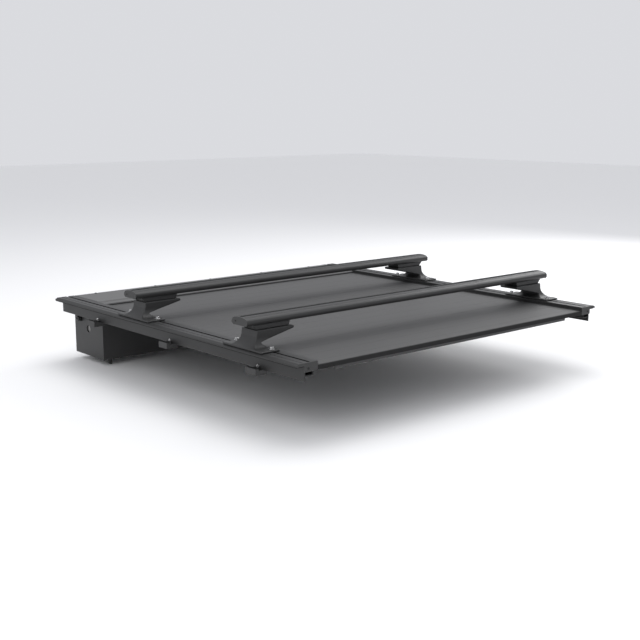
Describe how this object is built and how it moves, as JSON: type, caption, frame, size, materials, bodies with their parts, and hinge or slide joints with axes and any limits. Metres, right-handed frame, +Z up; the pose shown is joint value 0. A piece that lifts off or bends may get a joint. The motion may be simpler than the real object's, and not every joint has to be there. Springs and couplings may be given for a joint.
{
  "type": "roll-up tonneau cover",
  "caption": "Roll-up slatted bed cover for a pickup: side rails, canister with roll tube and motor, and sliding cross bars on feet.",
  "frame": {"origin": "centre of the canister's cab-side sealing face, level with the top of the truck's bed rails", "axes": "+X the vehicle's right, +Y towards the cab, +Z up; the cover lies from Y = 0 to Y = -1.48 m"},
  "size_m": [1.47, 1.48, 0.3516],
  "materials": {
    "foam": "closed-cell black foam",
    "moulding": "fine-grained black moulding",
    "lid": "satin dark grey powder coat on aluminium",
    "stainless": "brushed stainless steel",
    "canister": "black powder coat on aluminium sheet",
    "zinc": "bright zinc-plated steel",
    "nylon": "dark self-lubricating nylon",
    "crossbar": "satin dark grey powder coat on aluminium",
    "rubber": "soft black rubber",
    "foot": "black textured coating on an aluminium casting",
    "mill_aluminium": "extruded mill finish",
    "webbing": "woven black webbing",
    "slat": "fine-textured matte dark grey coating on aluminium",
    "rail": "satin black powder coat on aluminium",
    "bristle": "black nylon bristle",
    "motor": "grey painted steel tube"
  },
  "bodies": {
    "root": {"bulkhead_seal": "foam", "cable_gland": "moulding", "canister_lid": "lid", "canister_screws": "stainless", "canister_tray": "canister", "clamp_bolts": "zinc", "drain_spouts": "moulding", "end_bearing": "nylon", "guide_roller_axle": "stainless", "left_end_plate": "canister", "left_rail": "rail", "lid_brush_seal": "bristle", "motor_bracket": "zinc", "rail_base_seals": "foam", "rail_clamps": "mill_aluminium", "rail_end_caps": "moulding", "rail_wiper_seals": "rubber", "right_end_plate": "canister", "right_rail": "rail", "tubular_motor": "motor"},
    "curtain": {"slat_01": "slat", "slat_02": "slat", "slat_03": "slat", "slat_04": "slat", "slat_05": "slat", "slat_06": "slat", "slat_07": "slat", "slat_08": "slat", "slat_09": "slat", "slat_10": "slat", "slat_11": "slat", "slat_12": "slat", "slat_13": "slat", "slat_14": "slat", "slat_15": "slat", "slat_16": "slat", "slat_end_guides": "nylon", "leading_bar": "slat", "tail_seal": "rubber", "leader_straps": "webbing"},
    "roll_tube": {"roll_tube": "mill_aluminium", "motor_drive_wheel": "moulding", "motor_crown": "moulding", "tube_end_plug": "nylon"},
    "guide_roller": {"guide_roller": "mill_aluminium"},
    "front_crossbar": {"front_crossbar": "crossbar", "front_crossbar_cradles": "rubber", "front_crossbar_end_caps": "moulding", "front_crossbar_strip": "rubber", "front_foot_fixings": "zinc", "front_left_foot": "foot", "front_right_foot": "foot"},
    "rear_crossbar": {"rear_crossbar": "crossbar", "rear_crossbar_cradles": "rubber", "rear_crossbar_end_caps": "moulding", "rear_crossbar_strip": "rubber", "rear_foot_fixings": "zinc", "rear_left_foot": "foot", "rear_right_foot": "foot"}
  },
  "joints": [
    {"name": "curtain_slide", "type": "slide", "parent": "root", "child": "curtain", "axis": [0, 1, 0], "range_m": [0, 0.2], "deforming": ["leader_straps"]},
    {"name": "roll_tube_spin", "type": "hinge", "parent": "root", "child": "roll_tube", "pos_m": [0, -0.11, -0.105], "axis": [-1, 0, 0], "range_deg": [0, 328]},
    {"name": "guide_roller_spin", "type": "hinge", "parent": "root", "child": "guide_roller", "pos_m": [0, -0.205, -0.0243], "axis": [-1, 0, 0], "continuous": true},
    {"name": "front_crossbar_slide", "type": "slide", "parent": "root", "child": "front_crossbar", "axis": [0, 1, 0], "range_m": [-0.15, 0.22]},
    {"name": "rear_crossbar_slide", "type": "slide", "parent": "root", "child": "rear_crossbar", "axis": [0, 1, 0], "range_m": [-0.15, 0.2]}
  ],
  "couplings": [
    {"joint": "roll_tube_spin", "follows": "curtain_slide", "rad_per_m": 28.571},
    {"joint": "guide_roller_spin", "follows": "curtain_slide", "rad_per_m": 83.333}
  ]
}
